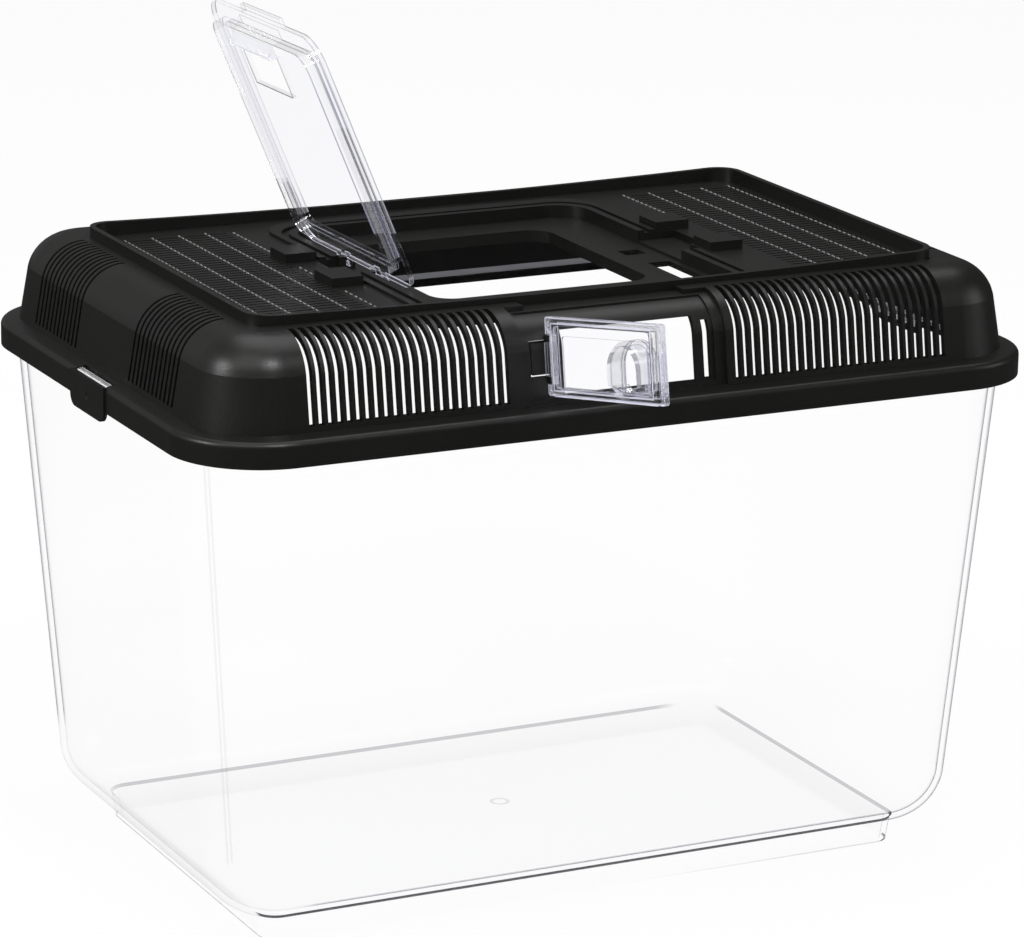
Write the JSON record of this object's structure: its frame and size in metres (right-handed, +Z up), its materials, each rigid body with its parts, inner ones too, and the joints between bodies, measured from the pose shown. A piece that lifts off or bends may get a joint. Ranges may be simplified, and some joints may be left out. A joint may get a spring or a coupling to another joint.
{
  "type": "pet keeper tub",
  "caption": "Clear tapered tub with a ventilated slatted lid, a hinged hatch in its deck and a small hinged feeding door in front.",
  "frame": {"origin": "centre of the foot on the ground plane", "axes": "+Z up, X along the length, feeding door on the -Y side"},
  "size_m": [0.3012, 0.2537, 0.2889],
  "materials": {
    "clear_tub": "clear polished moulding",
    "black_lid": "black satin moulding, fine grain",
    "clear_door": "clear polished moulding"
  },
  "bodies": {
    "tub": {"tub": "clear_tub"},
    "lid": {"lid": "black_lid"},
    "top_door": {"top_door": "clear_door"},
    "front_door": {"front_door": "clear_door"}
  },
  "joints": [
    {"name": "lid_lift", "type": "slide", "parent": "tub", "child": "lid", "axis": [0, 0, 1], "range_m": [0, 0.06]},
    {"name": "hatch_hinge", "type": "hinge", "parent": "lid", "child": "top_door", "pos_m": [-0.0542, 0, 0.2008], "axis": [0, -1, 0], "range_deg": [-113.4, 8]},
    {"name": "feed_hinge", "type": "hinge", "parent": "lid", "child": "front_door", "pos_m": [-0.0296, -0.0933, 0.1778], "axis": [0, -0.1676, -0.9858], "range_deg": [-81.9, 8]}
  ]
}
